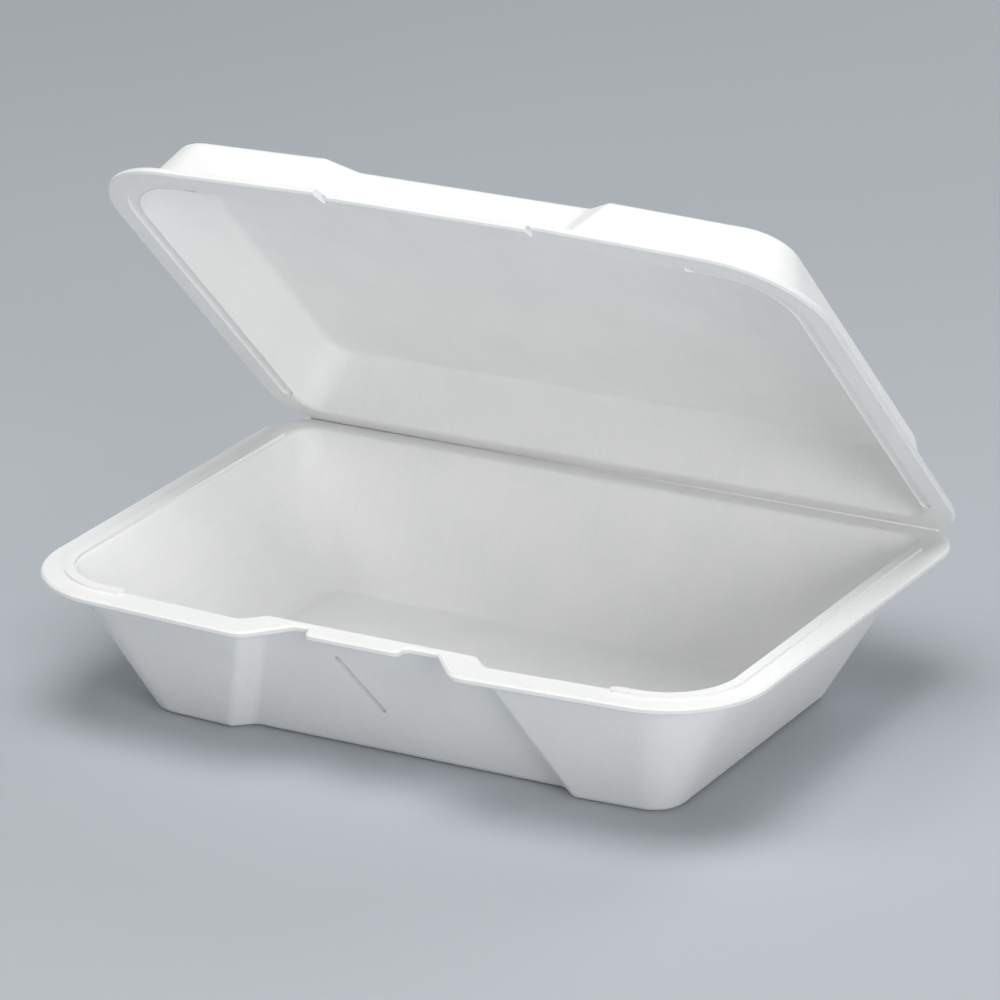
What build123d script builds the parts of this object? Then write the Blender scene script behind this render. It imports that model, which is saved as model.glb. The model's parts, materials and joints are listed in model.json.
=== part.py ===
from build123d import *
import math
import os
from dataclasses import dataclass

os.makedirs("parts", exist_ok=True)

# A take-out container formed from one foam sheet: a tray and its lid, joined along a pressed hinge.
# X runs along the hinge, Y from the front to the hinge, Z up. The origin is in the middle of the
# tray's underside. All lengths are in millimetres.

# Overall sizes
width = 235.0
depth = 165.5
tray_height = 45.4
lid_height = 20.5
opening_angle = 45.0

# Foam sheet: its gauge in the walls, and pressed thinner in the rim and the hinge
foam_thickness = 2.4
rim_thickness = 2.2
hinge_thickness = 0.8
hinge_land = 2.2

# Room between the tray and the lid, from closed to laid flat
closing_gap = 0.3

# Rim in plan: the front edge sweeps back from its shoulders to the corners
front_sweep = 4.7
front_corner_radius = 31.0
rear_corner_radius = 18.0
rim_side_width = 10.2
rim_front_width = 10.0
rim_rear_width = 7.0
rim_edge_chamfer = 0.6
brim_rounding = 1.6

# Latch at the front of the tray's rim: a tab between two notches, set off to the left of the middle
shoulder_half = 34.5
shoulder_rounding = 7.0
notch_root_half = 23.5
notch_rounding = 3.0
notch_lip = 0.8
tab_half = 15.7
tab_shift = -2.5
tab_set_back = 8.3
tab_root_rounding = 1.6
tab_rounding = 2.6

# Front edge of the lid's rim: a middle stretch set back between two nicks
nick_half = 33.6
nick_width = 2.6
nick_depth = 3.4
set_back_slope = 1.6
lid_set_back = 2.3
set_back_rounding = 1.0

# Strips raised beside the brim along both sides of the tray's rim, and the seats pressed into the
# lid's rim that drop over them
seat_inset = 6.5
seat_depth = 0.9
seat_rear_stop = 17.0
seat_front_stop = 5.0

# Walls: how far the wall's foot lies inside the rim's edge, and how its corners are rounded
tray_side_foot = 30.6
tray_front_foot = 30.0
tray_rear_foot = 28.1
tray_foot_front_radius = 10.0
tray_foot_rear_radius = 9.0
tray_foot_rounding = 3.4
lid_side_foot = 17.0
lid_front_foot = 16.3
lid_rear_foot = 14.25
lid_foot_front_radius = 13.0
lid_foot_rear_radius = 10.0
lid_foot_rounding = 3.6
inner_foot_rounding = 3.0
brim_front_radius = 23.0
brim_rear_radius = 9.5

# Recess through the full height of both front walls: its back, and its mouth beside the shoulders.
# At the tray's foot the mouth stops short of the side wall by a land.
fold_radius = 3.0
brim_recess_depth = 6.0
brim_recess_half = 33.0
brim_mouth_half = 39.0
tray_recess_depth = 5.0
tray_recess_slope = 5.5
tray_mouth_land = 29.4
lid_recess_depth = 6.0
lid_recess_half = 38.0
lid_mouth_half = 47.0

# Slanting crease dented into the tray's recess
crease_top_x = -12.9
crease_top_height = 34.7
crease_foot_x = -3.0
crease_foot_height = 17.1
crease_radius = 0.7
crease_depth = 1.0

# The hinge line, and the faces of the two rims that meet when the lid is closed
hinge_y = depth / 2
tray_rim_face = tray_height - closing_gap / 2
lid_rim_face = tray_height + closing_gap / 2
lid_top = tray_height + lid_height


def front_line(x):
    """Y of the rim's front edge, at x from the middle."""
    share = (x - shoulder_half) / (width / 2 - shoulder_half)
    return -depth / 2 + front_sweep * share


def mirrored_face(half, middle=()):
    """A flat face from the corners of its right half, from rear to front, each with its radius.

    Any corners in the middle of the front run from right to left and aren't mirrored.
    """
    left = [(-x, y, radius) for x, y, radius in reversed(half)]
    corners = [*half, *middle, *left]
    points = [(x, y) for x, y, radius in corners]
    radii = [radius for x, y, radius in corners]
    return make_face(FilletPolyline(*points, radius=radii, close=True))


@dataclass(frozen=True)
class Level:
    """The wall's plan at one height: its insets from the rim's edge, its recess and its corners."""

    height: float
    side: float
    front: float
    rear: float
    recess_depth: float
    recess_half: float
    mouth_half: float
    front_radius: float
    rear_radius: float

    def at(self, other, height):
        """The plan at another height, on the straight wall through two levels."""
        share = (height - self.height) / (other.height - self.height)
        here = vars(self)
        there = vars(other)
        return Level(*(here[key] + share * (there[key] - here[key]) for key in here))

    def inside(self, run):
        """The plan of the wall's inner face, which lies a horizontal run inside the outer one."""
        fold = math.atan2(self.recess_depth, self.mouth_half - self.recess_half)
        shift = run * math.tan(fold / 2)
        return Level(
            self.height,
            self.side + run,
            self.front + run,
            self.rear + run,
            self.recess_depth,
            self.recess_half + shift,
            self.mouth_half + shift,
            self.front_radius - run,
            self.rear_radius - run,
        )

    def recess_y(self):
        """Y of the back of the recess."""
        return front_line(self.mouth_half) + self.front + self.recess_depth

    def face(self):
        """The plan as a flat face at its height."""
        side = width / 2 - self.side
        half = [
            (side, hinge_y - self.rear, self.rear_radius),
            (side, front_line(side) + self.front, self.front_radius),
            (self.mouth_half, front_line(self.mouth_half) + self.front, fold_radius),
            (self.recess_half, self.recess_y(), fold_radius),
        ]
        return Pos(0, 0, self.height) * mirrored_face(half)


def wall_run(foot_inset, brim_inset, height):
    """Horizontal thickness of a leaning wall of the foam's gauge."""
    return foam_thickness * math.hypot(foot_inset - brim_inset, height) / height


def brim_level(height, run):
    """Outside of the wall where it meets the rim: the tray and the lid have the same."""
    return Level(
        height,
        rim_side_width - run,
        rim_front_width - run,
        rim_rear_width - run,
        brim_recess_depth,
        brim_recess_half,
        brim_mouth_half,
        brim_front_radius,
        brim_rear_radius,
    )


def wall_form(foot, brim, rounding):
    """A solid with the wall's plan at two levels, and the smooth edge around its foot rounded."""
    form = loft([foot.face(), brim.face()], ruled=True)
    end = min(form.faces(), key=lambda face: abs(face.center().Z - foot.height))
    return fillet(end.edges().sort_by(Axis.Y)[-1], rounding)


def bowl(brim, foot, run, foot_rounding, rim):
    """A drafted bowl of even gauge under its rim, with its feet and its brim rounded."""
    toward_brim = math.copysign(foam_thickness, brim.height - foot.height)
    inner_brim = brim.inside(run)
    inner_foot = foot.inside(run)
    past_brim = inner_brim.at(inner_foot, brim.height + toward_brim)
    floor = inner_foot.at(inner_brim, foot.height + toward_brim)
    outside = wall_form(foot, brim, foot_rounding)
    hollow = wall_form(floor, past_brim, inner_foot_rounding)
    body = outside + rim - hollow
    meeting_face = min(body.faces().filter_by(Axis.Z), key=lambda face: abs(face.center().Z - brim.height))
    brim_loop = meeting_face.inner_wires()[0].edges()
    return fillet(brim_loop.sort_by(Axis.Y)[-1], brim_rounding)


def rim_plate(face, meeting_face, outward):
    """A rim with chamfered edges, cut square at the hinge and pressed thin beside it."""
    plate = extrude(Pos(0, 0, meeting_face) * face, rim_thickness * outward)
    rear_edges = plate.edges().filter_by(Axis.X).group_by(Axis.Y)[-1]
    plate = chamfer(rear_edges, rim_edge_chamfer)
    behind = Pos(0, hinge_y - closing_gap / 2 + depth / 2, meeting_face) * Box(width, depth, tray_height)
    web = meeting_face + hinge_thickness * outward
    past = meeting_face + (rim_thickness + rim_edge_chamfer) * outward
    lead = hinge_y - hinge_land - abs(past - web)
    pressed = make_face(
        Polyline(
            (hinge_y, web),
            (hinge_y - hinge_land, web),
            (lead, past),
            (hinge_y, past),
            close=True,
        )
    )
    return plate - behind - extrude(Plane.YZ * pressed, width / 2, both=True)


def tray_rim(recess_y):
    """The tray's rim, with the tab between its two notches."""
    root = recess_y - notch_lip
    half = [
        (width / 2, hinge_y + rim_thickness, rear_corner_radius),
        (width / 2, front_line(width / 2), front_corner_radius),
        (shoulder_half, front_line(shoulder_half), shoulder_rounding),
        (notch_root_half, root, notch_rounding),
    ]
    tip = front_line(shoulder_half) + tab_set_back
    tab = [
        (tab_shift + tab_half, root, tab_root_rounding),
        (tab_shift + tab_half, tip, tab_rounding),
        (tab_shift - tab_half, tip, tab_rounding),
        (tab_shift - tab_half, root, tab_root_rounding),
    ]
    return rim_plate(mirrored_face(half, tab), tray_rim_face, -1)


def lid_rim():
    """The lid's rim, with its middle stretch set back between two nicks."""
    outer = nick_half + set_back_slope / 2
    inner = nick_half - set_back_slope / 2
    set_back = front_line(nick_half) + lid_set_back
    half = [
        (width / 2, hinge_y + rim_thickness, rear_corner_radius),
        (width / 2, front_line(width / 2), front_corner_radius),
        (outer, front_line(outer), set_back_rounding),
        (inner, set_back, set_back_rounding),
    ]
    rim = rim_plate(mirrored_face(half), lid_rim_face, 1)
    notch = make_face(
        Polyline(
            (nick_half, set_back + nick_depth),
            (nick_half - nick_width, set_back - nick_depth),
            (nick_half + nick_width, set_back - nick_depth),
            close=True,
        )
    )
    nick = extrude(Pos(0, 0, lid_rim_face) * notch, rim_thickness)
    return rim - nick - mirror(nick, Plane.YZ)


def seat_strips(clearance, bottom, top):
    """Round-ended strips beside the brim, along both sides and round the front corners."""
    half_width = (rim_side_width - seat_inset) / 2
    inset = seat_inset + half_width
    side = width / 2 - inset
    inner = width / 2 - front_corner_radius - seat_front_stop
    path = FilletPolyline(
        (side, hinge_y - seat_rear_stop),
        (side, front_line(side) + inset),
        (inner, front_line(inner) + inset),
        radius=front_corner_radius - inset,
    )
    strip = extrude(Pos(0, 0, bottom) * make_face(offset(path, half_width - clearance)), top - bottom)
    return strip + mirror(strip, Plane.YZ)


def crease(foot, brim):
    """The dent across the recess, a round bar laid half into the wall."""
    points = []
    for x, height in ((crease_top_x, crease_top_height), (crease_foot_x, crease_foot_height)):
        wall = foot.at(brim, height).recess_y()
        points.append(Vector(x, wall - (crease_radius - crease_depth), height))
    top, bottom = points
    return extrude(Plane(origin=top, z_dir=bottom - top) * Circle(crease_radius), (bottom - top).length)


def make_tray():
    """The tray, standing on its floor."""
    run = wall_run(tray_side_foot, rim_side_width, tray_height)
    brim = brim_level(tray_rim_face, run)
    mouth_half = width / 2 - tray_side_foot - tray_mouth_land
    foot = Level(
        0,
        tray_side_foot,
        tray_front_foot,
        tray_rear_foot,
        tray_recess_depth,
        mouth_half - tray_recess_slope,
        mouth_half,
        tray_foot_front_radius,
        tray_foot_rear_radius,
    )
    body = bowl(brim, foot, run, tray_foot_rounding, tray_rim(brim.recess_y()))
    strips = seat_strips(closing_gap, tray_rim_face - rim_thickness, tray_rim_face + seat_depth)
    return body + strips - crease(foot, brim)


def make_lid():
    """The lid, swung up from the tray by the opening angle."""
    run = wall_run(lid_side_foot, rim_side_width, lid_height)
    brim = brim_level(lid_rim_face, run)
    foot = Level(
        lid_top,
        lid_side_foot,
        lid_front_foot,
        lid_rear_foot,
        lid_recess_depth,
        lid_recess_half,
        lid_mouth_half,
        lid_foot_front_radius,
        lid_foot_rear_radius,
    )
    body = bowl(brim, foot, run, lid_foot_rounding, lid_rim())
    seats = seat_strips(0, lid_rim_face, lid_rim_face + seat_depth)
    hinge_line = Pos(0, hinge_y, tray_height)
    return hinge_line * Rot(-opening_angle, 0, 0) * hinge_line.inverse() * (body - seats)


export_step(make_tray(), "parts/tray.step")
export_step(make_lid(), "parts/lid.step")
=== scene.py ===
"""Dresses the foam clamshell container: foam finish, folded hinge, floor, lamps and camera."""

import json
import math

import bpy
from bpy.props import FloatProperty, FloatVectorProperty, IntProperty, PointerProperty
from mathutils import Matrix, Vector


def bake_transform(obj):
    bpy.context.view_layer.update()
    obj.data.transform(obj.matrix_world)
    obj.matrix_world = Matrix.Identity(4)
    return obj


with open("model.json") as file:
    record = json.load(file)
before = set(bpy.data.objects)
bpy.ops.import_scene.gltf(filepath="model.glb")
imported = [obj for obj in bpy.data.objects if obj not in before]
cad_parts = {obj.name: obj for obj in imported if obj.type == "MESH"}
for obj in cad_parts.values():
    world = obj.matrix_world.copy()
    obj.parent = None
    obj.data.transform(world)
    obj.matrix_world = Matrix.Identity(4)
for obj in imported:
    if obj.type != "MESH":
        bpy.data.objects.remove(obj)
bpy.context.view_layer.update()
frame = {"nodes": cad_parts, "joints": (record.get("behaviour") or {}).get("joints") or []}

bl_info = {
    "name": "Foam Clamshell Container",
    "version": (1, 0, 0),
    "blender": (4, 5, 0),
    "location": "View3D > Sidebar > Container",
    "description": "Finishes the container's foam, folds its hinge and sets up its stage",
    "category": "Object",
}

HINGE = frame["joints"][0]
HINGE_LINE = Vector(HINGE["pos_m"])
OPENING = -math.radians(HINGE["range_deg"][0])

# Points of the folded web closer than this, in metres, are joined.
WELD_DISTANCE = 1e-6

# How much of the cell shade the cells, the mottling and the draw marks each take on.
CELL_SHADE = 0.35
MOTTLE_SHADE = 0.5
DRAW_SHADE = 0.2

# Mottles and draw marks to a metre, and how many times a mottle is higher than a cell.
MOTTLES = 45.0
DRAW_MARKS = 900.0
MOTTLE_RELIEF = 4

# How far the roughness falls and rises with the mottling.
SMOOTHER = 0.06
ROUGHER = 0.08

# The backdrop's half width, height, the radius it curves up with and the facets of the curve.
BACKDROP_HALF = 6.0
BACKDROP_RISE = 5.0
BACKDROP_BEND = 1.2
BACKDROP_STEPS = 16

# Each lamp's place and size. All of them point at the middle of the open container.
LAMP_TARGET = (0, 0, 0.06)
LAMPS = {
    "top": ((0.1, -0.2, 1.5), 1.0),
    "high": ((0.1, -0.5, 2.2), 1.0),
    "left": ((-0.9, -0.7, 1.2), 0.8),
    "right": ((1.5, -0.9, 0.5), 0.8),
    "low": ((0.0, -1.8, 0.5), 0.8),
    "back": ((0.4, 1.3, 1.2), 0.8),
}

# A faint cool white from all round.
SKY_COLOUR = (0.97, 0.98, 1.0, 1)

# Where the camera stands, its directions to the right and up, its lens and its sensor.
CAMERA_PLACE = (0.80408, -1.43465, 0.67994)
CAMERA_RIGHT = Vector((0.87573353, 0.48266392, -0.01123892))
CAMERA_UP = Vector((-0.16006777, 0.31222787, 0.93642515))
CAMERA_LENS = 216.0
CAMERA_SENSOR = 36.0


class FoamSettings(bpy.types.PropertyGroup):
    """Finish of the moulded foam sheet."""

    colour: FloatVectorProperty(
        name="Foam colour",
        description="Base colour of the foam",
        default=(0.94, 0.943, 0.932),
        size=3,
        min=0.0,
        max=1.0,
        subtype="COLOR",
    )
    shade: FloatVectorProperty(
        name="Cell shade",
        description="Colour of the denser foam between the cells",
        default=(0.885, 0.892, 0.89),
        size=3,
        min=0.0,
        max=1.0,
        subtype="COLOR",
    )
    cell_size: FloatProperty(
        name="Cell size",
        description="Width of one closed foam cell on the skin",
        default=0.0011,
        min=0.0002,
        unit="LENGTH",
    )
    cell_relief: FloatProperty(
        name="Cell relief",
        description="Height of the cells on the skin",
        default=0.00004,
        min=0.0,
        unit="LENGTH",
    )
    draw_length: FloatProperty(
        name="Draw mark length",
        description="Length of the soft streaks left where the sheet was drawn",
        default=0.05,
        min=0.001,
        unit="LENGTH",
    )
    roughness: FloatProperty(
        name="Roughness",
        description="Roughness of the foam skin",
        default=0.52,
        min=0.0,
        max=1.0,
        subtype="FACTOR",
    )


class CreaseShadeSettings(bpy.types.PropertyGroup):
    """Painted shade along the slanting crease in the tray's front recess."""

    top: FloatVectorProperty(
        name="Top",
        description="Upper end of the crease",
        default=(-0.0129, -0.0640, 0.0347),
        size=3,
        subtype="TRANSLATION",
        unit="LENGTH",
    )
    foot: FloatVectorProperty(
        name="Foot",
        description="Lower end of the crease",
        default=(-0.0030, -0.0551, 0.0171),
        size=3,
        subtype="TRANSLATION",
        unit="LENGTH",
    )
    reach: FloatProperty(
        name="Reach",
        description="Distance from the crease over which its shade fades",
        default=0.0013,
        min=0.0001,
        unit="LENGTH",
    )
    # Strength of the painted crease shade: the share of brightness it takes off.
    shade: FloatProperty(
        name="Shade",
        description="Share of the foam's brightness that the crease loses",
        default=0.5,
        min=0.0,
        max=1.0,
        subtype="FACTOR",
    )


class HingeSettings(bpy.types.PropertyGroup):
    """Sizes of the pressed fold between the tray and the lid."""

    thickness: FloatProperty(
        name="Fold thickness",
        description="Thickness of the pressed foam along the fold",
        default=0.0008,
        min=0.0001,
        unit="LENGTH",
    )
    half_gap: FloatProperty(
        name="Half gap",
        description="Distance from the hinge line to the pressed edge of either half",
        default=0.00015,
        min=0.0,
        unit="LENGTH",
    )
    lap: FloatProperty(
        name="Lap",
        description="How far the fold runs into the pressed edge of either half",
        default=0.0003,
        min=0.0,
        unit="LENGTH",
    )
    sink: FloatProperty(
        name="Sink",
        description="How far the fold lies under the faces of the pressed edges",
        default=0.00002,
        min=0.0,
        unit="LENGTH",
    )
    end_inset: FloatProperty(
        name="End inset",
        description="Distance from the end of the pressed edge to the end of the fold",
        default=0.0004,
        min=0.0,
        unit="LENGTH",
    )
    steps: IntProperty(
        name="Steps",
        description="Number of facets along the fold's bend and laps",
        default=18,
        min=4,
    )


class StageSettings(bpy.types.PropertyGroup):
    """Floor, backdrop, lamps and camera."""

    floor_colour: FloatVectorProperty(
        name="Floor colour",
        description="Colour of the floor and backdrop",
        default=(0.482, 0.512, 0.545),
        size=3,
        min=0.0,
        max=1.0,
        subtype="COLOR",
    )
    top_power: FloatProperty(
        name="Top lamp power",
        description="Power of the wide lamp overhead",
        default=10.6,
        min=0.0,
        unit="POWER",
    )
    high_power: FloatProperty(
        name="High lamp power",
        description="Power of the far lamp overhead",
        default=8.5,
        min=0.0,
        unit="POWER",
    )
    left_power: FloatProperty(
        name="Left lamp power",
        description="Power of the soft lamp high at the left",
        default=5.5,
        min=0.0,
        unit="POWER",
    )
    right_power: FloatProperty(
        name="Right lamp power",
        description="Power of the soft lamp low at the right",
        default=12.0,
        min=0.0,
        unit="POWER",
    )
    low_power: FloatProperty(
        name="Low lamp power",
        description="Power of the soft lamp low in front",
        default=4.2,
        min=0.0,
        unit="POWER",
    )
    back_power: FloatProperty(
        name="Back lamp power",
        description="Power of the soft lamp behind",
        default=6.9,
        min=0.0,
        unit="POWER",
    )
    sky: FloatProperty(
        name="Sky strength",
        description="Strength of the even light from all round",
        default=0.02,
        min=0.0,
    )


def node_maker(tree):
    """A function that adds a node to the tree, sets its options and inputs, and returns it."""

    def add(kind, inputs=None, **options):
        node = tree.nodes.new(kind)
        for key, value in options.items():
            setattr(node, key, value)
        for key, value in (inputs or {}).items():
            if isinstance(value, bpy.types.NodeSocket):
                tree.links.new(value, node.inputs[key])
            else:
                node.inputs[key].default_value = value
        return node

    return add


def new_material(name):
    """An empty node material with its output, and the function that adds its nodes."""
    material = bpy.data.materials.new(name)
    material.use_nodes = True
    material.node_tree.nodes.clear()
    add = node_maker(material.node_tree)
    return material, add


def level(add, value, start, end, least=0.0, most=1.0, **options):
    """A level that goes from least to most while the value goes from start to end."""
    inputs = {
        "Value": value,
        "From Min": start,
        "From Max": end,
        "To Min": least,
        "To Max": most,
    }
    return add("ShaderNodeMapRange", inputs, **options).outputs["Result"]


def crease_painted_shade(add, place, crease):
    """Painted shade near the crease: brightness lowest along the line between its ends."""

    def vector(operation, output, inputs):
        return add("ShaderNodeVectorMath", inputs, operation=operation).outputs[output]

    line = Vector(crease.foot) - Vector(crease.top)
    from_top = vector("SUBTRACT", "Vector", {0: place, 1: crease.top})
    along = vector("DOT_PRODUCT", "Value", {0: from_top, 1: line / line.length_squared})
    share = add("ShaderNodeClamp", {"Value": along}).outputs["Result"]
    nearest = vector("SCALE", "Vector", {0: line, "Scale": share})
    away = vector("DISTANCE", "Value", {0: from_top, 1: nearest})
    reach = crease.reach
    darkest = 1 - crease.shade
    return level(add, away, start=0.0, end=reach, least=darkest, interpolation_type="SMOOTHSTEP")


def foam_material(settings, crease):
    """Moulded polystyrene foam: pale closed cells, soft mottling, faint draw marks and painted
    shade along the crease.
    """
    material, add = new_material("moulded_foam")
    place = add("ShaderNodeTexCoord").outputs["Object"]
    cell = add(
        "ShaderNodeTexVoronoi",
        {"Vector": place, "Scale": 1 / settings.cell_size, "Randomness": 0.9},
        feature="F1",
    ).outputs["Distance"]
    mottle = add(
        "ShaderNodeTexNoise",
        {"Vector": place, "Scale": MOTTLES, "Detail": 2.0, "Roughness": 0.55},
    ).outputs["Fac"]
    drawn_scale = (DRAW_MARKS, 1 / settings.draw_length, 1 / settings.draw_length)
    drawn = add("ShaderNodeMapping", {"Vector": place, "Scale": drawn_scale}).outputs["Vector"]
    draw_mark = add(
        "ShaderNodeTexNoise",
        {"Vector": drawn, "Scale": 1.0, "Detail": 1.0},
    ).outputs["Fac"]
    cell_share = level(add, cell, start=0.2, end=0.95, most=CELL_SHADE)
    mottle_share = level(add, mottle, start=0.35, end=0.7, most=MOTTLE_SHADE)
    draw_share = level(add, draw_mark, start=0.45, end=0.75, most=DRAW_SHADE)
    skin_share = add("ShaderNodeMath", {0: cell_share, 1: mottle_share}, operation="ADD")
    shade_share = add(
        "ShaderNodeMath",
        {0: skin_share.outputs["Value"], 1: draw_share},
        operation="ADD",
        use_clamp=True,
    )
    colour = add("ShaderNodeMix", {"Factor": shade_share.outputs["Value"]}, data_type="RGBA")
    colour.inputs["A"].default_value = (*settings.colour, 1)
    colour.inputs["B"].default_value = (*settings.shade, 1)
    # Painted shade: the foam's colour darkens along the crease in the front recess.
    crease_shaded = add(
        "ShaderNodeVectorMath",
        {0: colour.outputs["Result"], "Scale": crease_painted_shade(add, place, crease)},
        operation="SCALE",
    )
    smoothest = settings.roughness - SMOOTHER
    roughest = settings.roughness + ROUGHER
    roughness = level(add, mottle, start=0.3, end=0.7, least=smoothest, most=roughest)
    fine = add(
        "ShaderNodeBump",
        {"Strength": 1.0, "Distance": settings.cell_relief, "Height": cell},
        invert=True,
    )
    waves = add(
        "ShaderNodeBump",
        {
            "Strength": 1.0,
            "Distance": settings.cell_relief * MOTTLE_RELIEF,
            "Height": mottle,
            "Normal": fine.outputs["Normal"],
        },
    )
    shader = add(
        "ShaderNodeBsdfPrincipled",
        {
            "Base Color": crease_shaded.outputs["Vector"],
            "Roughness": roughness,
            "Normal": waves.outputs["Normal"],
        },
    )
    shader.inputs["IOR"].default_value = 1.4
    shader.inputs["Specular IOR Level"].default_value = 0.35
    shader.inputs["Sheen Weight"].default_value = 0.08
    shader.inputs["Sheen Roughness"].default_value = 0.4
    add("ShaderNodeOutputMaterial", {"Surface": shader.outputs["BSDF"]})
    return material


def found_foam():
    """The foam finish, made the first time that a piece asks for it."""
    settings = bpy.context.scene.foam_container
    return bpy.data.materials.get("moulded_foam") or foam_material(settings.foam, settings.crease)


def floor_material(colour):
    """Plain seamless paper, slightly uneven, that keeps its tone far from the lamps."""
    material, add = new_material("seamless_paper")
    place = add("ShaderNodeTexCoord").outputs["Object"]
    cloud = add("ShaderNodeTexNoise", {"Vector": place, "Scale": 2.2, "Detail": 1.0})
    uneven = level(add, cloud.outputs["Fac"], start=0.3, end=0.7, least=0.98, most=1.02)
    tone = add("ShaderNodeVectorMath", {0: colour, "Scale": uneven}, operation="SCALE")
    away = add("ShaderNodeVectorMath", {0: place}, operation="LENGTH").outputs["Value"]
    glow = level(add, away, start=0.4, end=2.6, most=0.7, interpolation_type="SMOOTHSTEP")
    shader = add(
        "ShaderNodeBsdfPrincipled",
        {
            "Base Color": tone.outputs["Vector"],
            "Emission Color": tone.outputs["Vector"],
            "Emission Strength": glow,
        },
    )
    shader.inputs["Roughness"].default_value = 0.85
    shader.inputs["Specular IOR Level"].default_value = 0.2
    add("ShaderNodeOutputMaterial", {"Surface": shader.outputs["BSDF"]})
    material.cycles.emission_sampling = "NONE"
    return material


def dress(node):
    """Gives a formed half its foam finish."""
    piece = frame["nodes"][node]
    piece.data.materials.clear()
    piece.data.materials.append(found_foam())


def new_piece(name, vertices, faces):
    """A mesh object at the origin, linked to the scene."""
    mesh = bpy.data.meshes.new(name)
    mesh.from_pydata(vertices, [], faces)
    mesh.validate()
    piece = bpy.data.objects.new(name, mesh)
    bpy.context.scene.collection.objects.link(piece)
    return piece


def web_tree():
    """A tree that bends a flat strip round the hinge line and gives it its thickness."""
    tree = bpy.data.node_groups.new("hinge_web", "GeometryNodeTree")
    for name in ("Length", "Inner Radius", "Thickness", "Sweep", "Lap"):
        tree.interface.new_socket(name=name, in_out="INPUT", socket_type="NodeSocketFloat")
    tree.interface.new_socket(name="Centre", in_out="INPUT", socket_type="NodeSocketVector")
    tree.interface.new_socket(name="Steps", in_out="INPUT", socket_type="NodeSocketInt")
    tree.interface.new_socket(name="Material", in_out="INPUT", socket_type="NodeSocketMaterial")
    tree.interface.new_socket(name="Geometry", in_out="OUTPUT", socket_type="NodeSocketGeometry")
    add = node_maker(tree)
    given = add("NodeGroupInput").outputs

    def calc(operation, *values):
        values = dict(enumerate(values))
        return add("ShaderNodeMath", values, operation=operation).outputs["Value"]

    outer = calc("ADD", given["Inner Radius"], given["Thickness"])
    arc = calc("MULTIPLY", outer, given["Sweep"])
    reach = calc("MULTIPLY_ADD", given["Lap"], 2.0, arc)
    strip = add(
        "GeometryNodeMeshGrid",
        {"Size X": given["Length"], "Size Y": reach, "Vertices X": 2, "Vertices Y": given["Steps"]},
    )
    place = add("ShaderNodeSeparateXYZ", {"Vector": add("GeometryNodeInputPosition").outputs[0]})
    along = calc("SUBTRACT", calc("MULTIPLY_ADD", reach, 0.5, place.outputs["Y"]), given["Lap"])
    on_arc = calc("MINIMUM", calc("MAXIMUM", along, 0.0), arc)
    past = calc("SUBTRACT", along, on_arc)
    angle = calc("SUBTRACT", calc("DIVIDE", on_arc, outer), math.pi / 2)
    cosine = calc("COSINE", angle)
    sine = calc("SINE", angle)
    bent = add(
        "ShaderNodeCombineXYZ",
        {
            "X": place.outputs["X"],
            "Y": calc("SUBTRACT", calc("MULTIPLY", outer, cosine), calc("MULTIPLY", past, sine)),
            "Z": calc("ADD", calc("MULTIPLY", outer, sine), calc("MULTIPLY", past, cosine)),
        },
    )
    centred = add(
        "ShaderNodeVectorMath",
        {0: bent.outputs["Vector"], 1: given["Centre"]},
        operation="ADD",
    )
    back = add(
        "GeometryNodeSetPosition",
        {"Geometry": strip.outputs["Mesh"], "Position": centred.outputs["Vector"]},
    )
    front = add(
        "GeometryNodeExtrudeMesh",
        {
            "Mesh": back.outputs["Geometry"],
            "Offset Scale": given["Thickness"],
            "Individual": False,
        },
    )
    flipped = add("GeometryNodeFlipFaces", {"Mesh": back.outputs["Geometry"]})
    both = add("GeometryNodeJoinGeometry")
    tree.links.new(front.outputs["Mesh"], both.inputs["Geometry"])
    tree.links.new(flipped.outputs["Mesh"], both.inputs["Geometry"])
    closed = add(
        "GeometryNodeMergeByDistance",
        {"Geometry": both.outputs["Geometry"], "Distance": WELD_DISTANCE},
    )
    real = add("GeometryNodeRealizeInstances", {"Geometry": closed.outputs["Geometry"]})
    painted = add(
        "GeometryNodeSetMaterial",
        {"Geometry": real.outputs["Geometry"], "Material": given["Material"]},
    )
    add("NodeGroupOutput", {"Geometry": painted.outputs["Geometry"]})
    return tree


def grown(name, tree, values):
    """A plain mesh object made by a tree from its named inputs."""
    seed = new_piece("seed", [], [])
    modifier = seed.modifiers.new("growth", "NODES")
    modifier.node_group = tree
    for item in tree.interface.items_tree:
        if item.in_out == "INPUT":
            modifier[item.identifier] = values[item.name]
    depsgraph = bpy.context.evaluated_depsgraph_get()
    mesh = bpy.data.meshes.new_from_object(seed.evaluated_get(depsgraph), depsgraph=depsgraph)
    mesh.name = name
    bpy.data.objects.remove(seed)
    piece = bpy.data.objects.new(name, mesh)
    bpy.context.scene.collection.objects.link(piece)
    return piece


def pressed_reach(gap):
    """Half the length of the tray's pressed edge along the hinge line."""
    points = (vertex.co for vertex in frame["nodes"]["tray"].data.vertices)
    return max(abs(point.x) for point in points if HINGE_LINE.y - point.y < 2 * gap)


def backdrop():
    """The floor, which curves up into the backdrop behind the container."""
    rows = [(-BACKDROP_HALF, 0.0)]
    for step in range(BACKDROP_STEPS + 1):
        angle = math.radians(90 * step / BACKDROP_STEPS)
        back = BACKDROP_HALF - BACKDROP_BEND + BACKDROP_BEND * math.sin(angle)
        rows.append((back, BACKDROP_BEND - BACKDROP_BEND * math.cos(angle)))
    rows.append((BACKDROP_HALF, BACKDROP_RISE))
    vertices = [(x, y, z) for y, z in rows for x in (-BACKDROP_HALF, BACKDROP_HALF)]
    faces = [(2 * i, 2 * i + 1, 2 * i + 3, 2 * i + 2) for i in range(len(rows) - 1)]
    floor = new_piece("floor", vertices, faces)
    floor.data.shade_smooth()
    return floor


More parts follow.
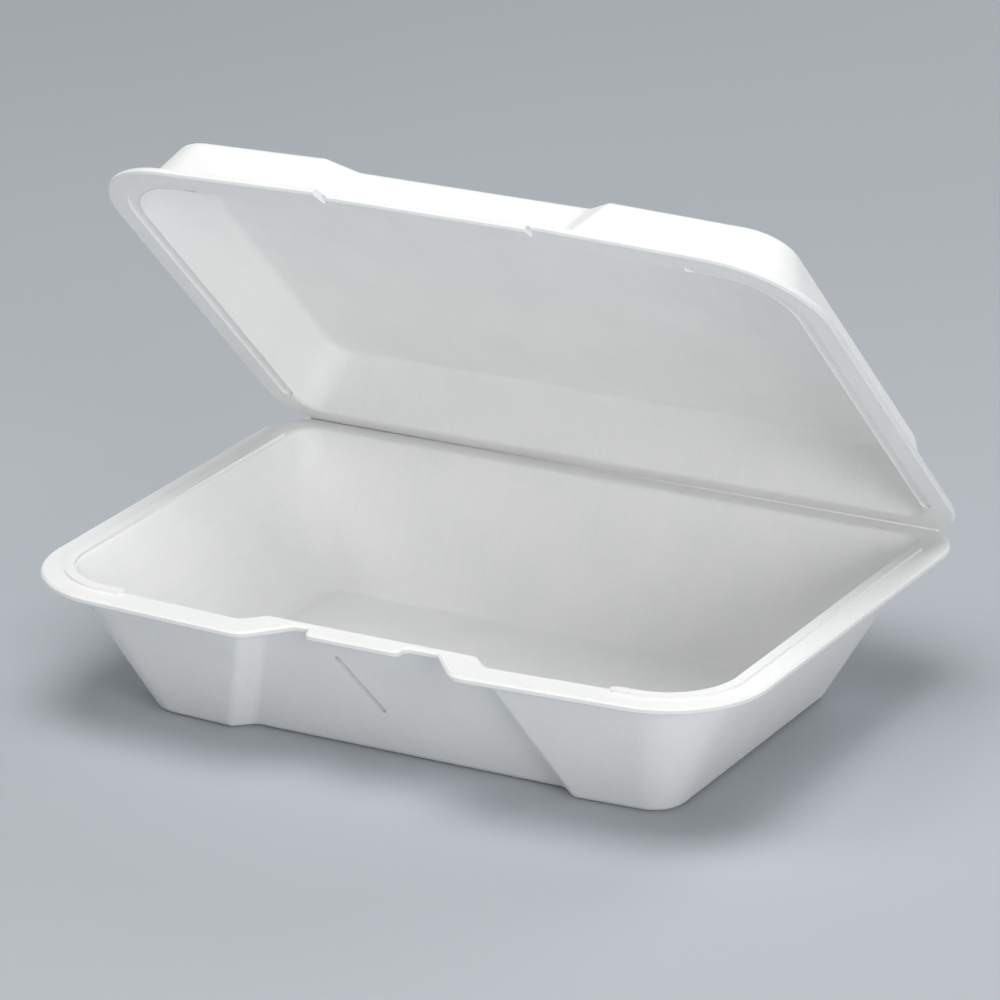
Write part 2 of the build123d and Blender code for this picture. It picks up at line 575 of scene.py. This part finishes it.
def add_lamp(name, place, size, power):
    """A square soft lamp that points at the container."""
    lamp = bpy.data.lights.new(name, "AREA")
    lamp.shape = "SQUARE"
    lamp.size = size
    lamp.energy = power
    item = bpy.data.objects.new(name, lamp)
    item.location = place
    aim = Vector(LAMP_TARGET) - Vector(place)
    item.rotation_euler = aim.to_track_quat("-Z", "Y").to_euler()
    bpy.context.scene.collection.objects.link(item)


def add_sky(strength):
    """Even light from all round."""
    world = bpy.data.worlds.new("studio")
    world.use_nodes = True
    background = world.node_tree.nodes["Background"]
    background.inputs["Color"].default_value = SKY_COLOUR
    background.inputs["Strength"].default_value = strength
    bpy.context.scene.world = world


def add_camera():
    """The camera, at the photograph's viewing angle."""
    camera = bpy.data.cameras.new("camera")
    camera.lens = CAMERA_LENS
    camera.sensor_width = CAMERA_SENSOR
    camera.clip_start = 0.05
    item = bpy.data.objects.new("camera", camera)
    turn = Matrix((CAMERA_RIGHT, CAMERA_UP, CAMERA_RIGHT.cross(CAMERA_UP))).transposed().to_4x4()
    item.matrix_world = Matrix.Translation(CAMERA_PLACE) @ turn
    bpy.context.scene.collection.objects.link(item)
    bpy.context.scene.camera = item


class CONTAINER_OT_tray(bpy.types.Operator):
    """Finish the tray in moulded foam"""

    bl_idname = "foam_container.tray"
    bl_label = "Finish Tray"

    def execute(self, context):
        dress("tray")
        return {"FINISHED"}


class CONTAINER_OT_lid(bpy.types.Operator):
    """Finish the lid in moulded foam"""

    bl_idname = "foam_container.lid"
    bl_label = "Finish Lid"

    def execute(self, context):
        dress("lid")
        return {"FINISHED"}


class CONTAINER_OT_hinge(bpy.types.Operator):
    """Fold the pressed web that joins the tray and the lid"""

    bl_idname = "foam_container.hinge"
    bl_label = "Fold Hinge"

    def execute(self, context):
        settings = context.scene.foam_container.hinge
        values = {
            "Length": 2 * (pressed_reach(settings.half_gap) - settings.end_inset),
            "Inner Radius": settings.half_gap + settings.sink,
            "Thickness": settings.thickness - 2 * settings.sink,
            "Sweep": math.pi - OPENING,
            "Lap": settings.half_gap + settings.lap,
            "Centre": HINGE_LINE,
            "Steps": settings.steps,
            "Material": found_foam(),
        }
        web = grown("hinge_web", web_tree(), values)
        web.data.shade_smooth()
        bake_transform(web)
        return {"FINISHED"}


class CONTAINER_OT_stage(bpy.types.Operator):
    """Set the floor, backdrop, lamps, sky and camera"""

    bl_idname = "foam_container.stage"
    bl_label = "Set Stage"

    def execute(self, context):
        settings = context.scene.foam_container.stage
        floor = backdrop()
        floor.data.materials.append(floor_material(settings.floor_colour))
        for name, (place, size) in LAMPS.items():
            add_lamp(f"{name}_lamp", place, size, getattr(settings, f"{name}_power"))
        add_sky(settings.sky)
        add_camera()
        context.scene.view_settings.view_transform = "Standard"
        return {"FINISHED"}


class CONTAINER_PT_sidebar(bpy.types.Panel):
    """Lists the steps that dress the container"""

    bl_idname = "CONTAINER_PT_sidebar"
    bl_label = "Foam Clamshell Container"
    bl_space_type = "VIEW_3D"
    bl_region_type = "UI"
    bl_category = "Container"

    def draw(self, context):
        for operator in STEPS:
            self.layout.operator(operator.bl_idname)


class ContainerSettings(bpy.types.PropertyGroup):
    """All the settings of the container's look."""

    foam: PointerProperty(type=FoamSettings, name="Foam", description="Finish of the foam")
    # Where the painted crease shade lies and how dark it is.
    crease: PointerProperty(type=CreaseShadeSettings, name="Crease", description="The crease's shade")
    hinge: PointerProperty(type=HingeSettings, name="Hinge", description="Sizes of the fold")
    stage: PointerProperty(type=StageSettings, name="Stage", description="Floor, lamps and sky")


STEPS = (CONTAINER_OT_tray, CONTAINER_OT_lid, CONTAINER_OT_hinge, CONTAINER_OT_stage)
CLASSES = (
    FoamSettings,
    CreaseShadeSettings,
    HingeSettings,
    StageSettings,
    ContainerSettings,
    *STEPS,
    CONTAINER_PT_sidebar,
)


def register():
    """Adds the settings, operators and panel."""
    for cls in CLASSES:
        bpy.utils.register_class(cls)
    bpy.types.Scene.foam_container = PointerProperty(type=ContainerSettings)


def unregister():
    """Removes what register added."""
    del bpy.types.Scene.foam_container
    for cls in reversed(CLASSES):
        bpy.utils.unregister_class(cls)


def main():
    """Dresses the container."""
    register()
    bpy.ops.foam_container.tray()
    bpy.ops.foam_container.lid()
    bpy.ops.foam_container.hinge()
    bpy.ops.foam_container.stage()


if __name__ == "__main__":
    main()
